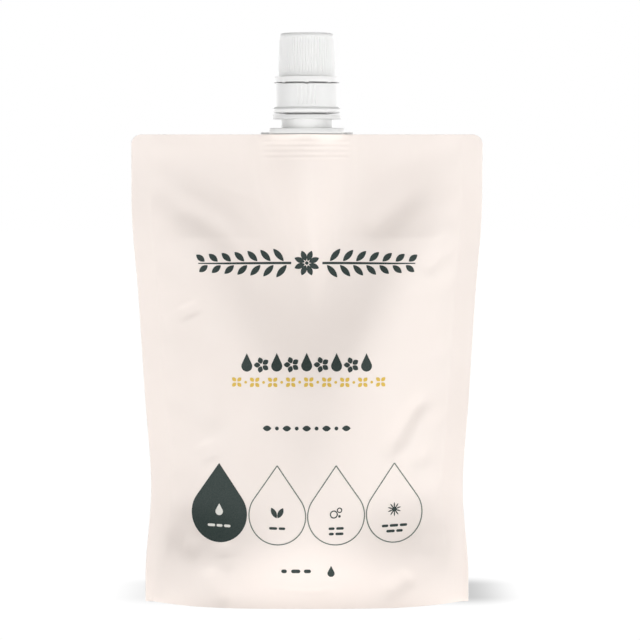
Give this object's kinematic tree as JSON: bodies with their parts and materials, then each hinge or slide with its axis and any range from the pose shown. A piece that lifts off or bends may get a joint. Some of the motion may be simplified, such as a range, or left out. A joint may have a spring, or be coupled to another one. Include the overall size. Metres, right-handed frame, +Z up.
{
  "type": "hand soap refill pack",
  "caption": "Filled stand-up film pouch with a moulded spout in its top seal, a tamper band and a ribbed screw cap that unscrews.",
  "frame": {"origin": "middle of the base, on the ground that the pack stands on", "axes": "+Z up along the spout's axis, +X along the pack's width to the right of someone who looks at its front, -Y out of its front"},
  "size_m": [0.14, 0.0484, 0.2272],
  "materials": {
    "film": "white laminated film with a soft sheen",
    "spout_plastic": "moulded polyethylene, satin",
    "band_plastic": "moulded polypropylene, satin",
    "cap_plastic": "moulded polypropylene, satin",
    "liner_foam": "closed-cell foam"
  },
  "bodies": {
    "pack": {"pouch": "film", "spout": "spout_plastic", "tamper_band": "band_plastic"},
    "liner": {"cap_liner": "liner_foam"},
    "cap": {"screw_cap": "cap_plastic"}
  },
  "joints": [
    {"name": "cap_lift", "type": "slide", "parent": "pack", "child": "liner", "axis": [0, 0, 1], "range_m": [0, 0.00525]},
    {"name": "cap_turn", "type": "hinge", "parent": "liner", "child": "cap", "pos_m": [0, 0, 0.217], "axis": [0, 0, 1], "range_deg": [0, 630]}
  ],
  "couplings": [
    {"joint": "cap_lift", "follows": "cap_turn", "m_per_rad": 0.00047746}
  ]
}
